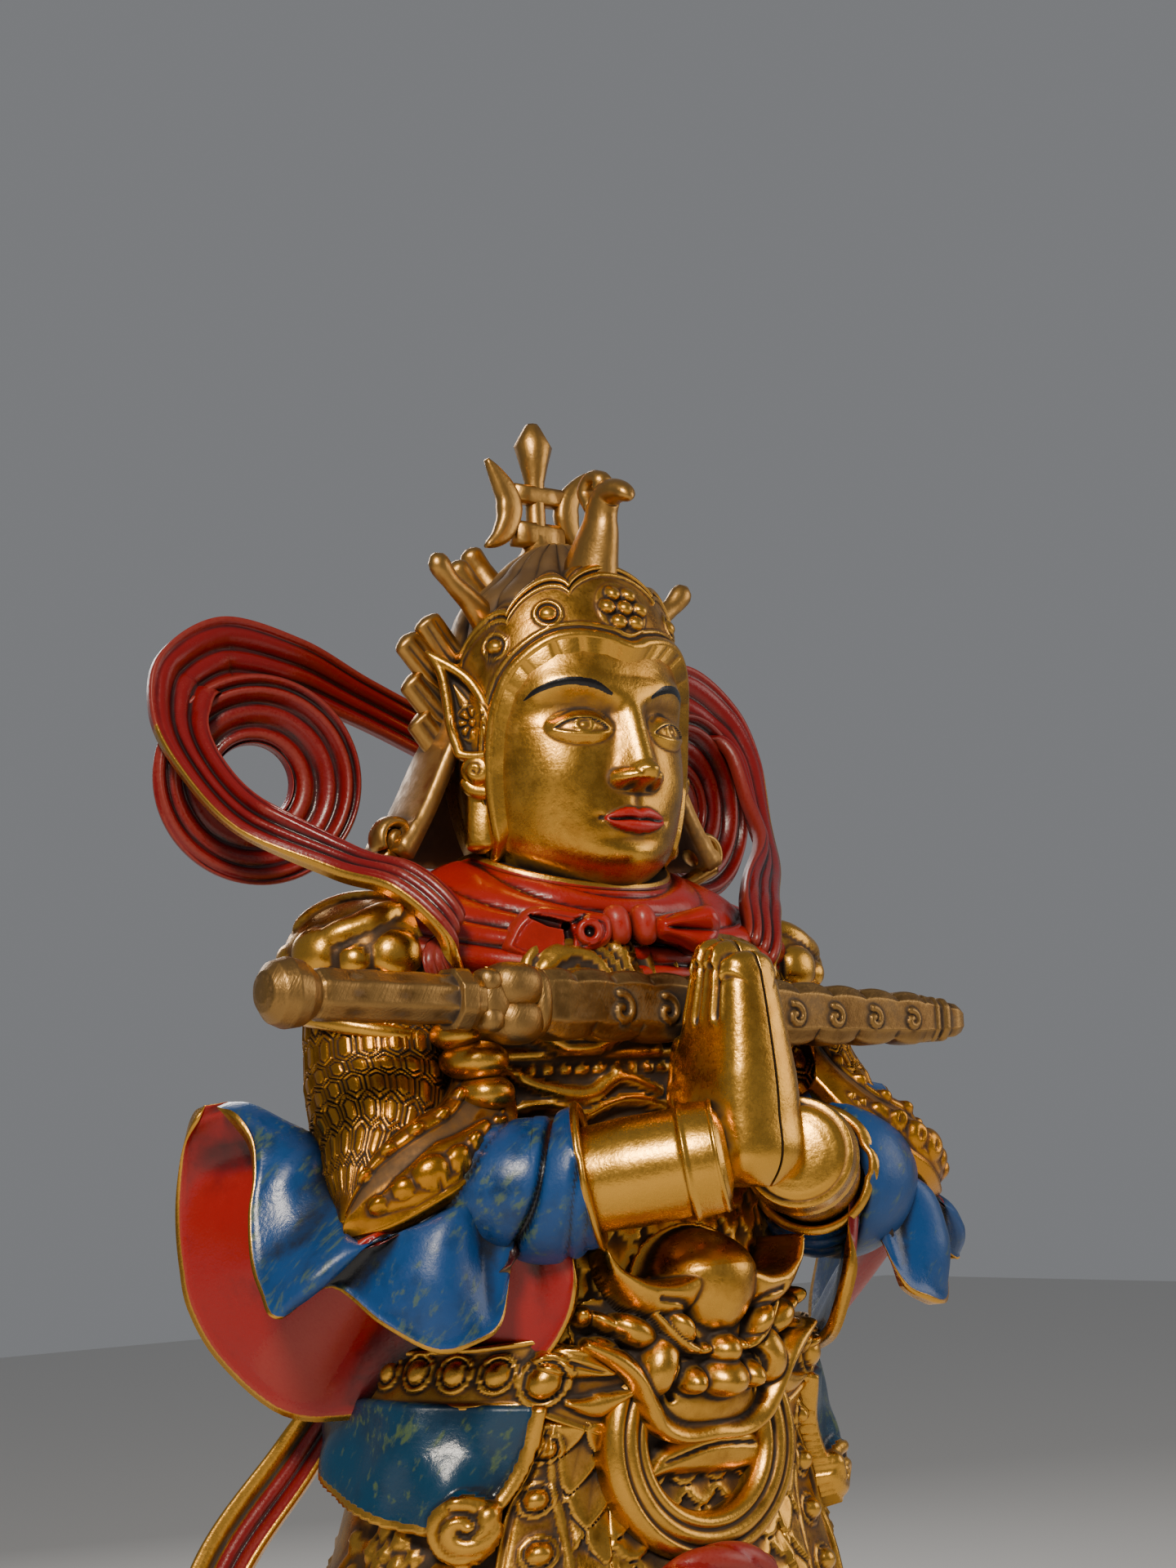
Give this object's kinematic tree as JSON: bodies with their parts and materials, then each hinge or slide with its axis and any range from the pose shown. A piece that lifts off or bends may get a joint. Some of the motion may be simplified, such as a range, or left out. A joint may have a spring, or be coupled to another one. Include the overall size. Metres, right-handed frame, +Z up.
{
  "type": "guardian statue",
  "caption": "Standing armoured temple guardian in gilt and painted copper, palms joined, a club laid across the arms, on a low oval petalled plinth.",
  "frame": {"origin": "middle of the plinth's underside", "axes": "+Z up, the figure looks towards -Y, its own left is +X"},
  "size_m": [0.1661, 0.118, 0.4064],
  "materials": {
    "gilt_copper": "aged gilding with dark crevices, red and blue painted cloth",
    "dull_bronze": "dull brown bronze, worn bright at the edges",
    "plinth_gilt": "aged gilding, darker in the hollows"
  },
  "bodies": {
    "root": {"guardian_figure": "gilt_copper", "guardian_club": "dull_bronze", "lotus_plinth": "plinth_gilt"}
  },
  "joints": []
}
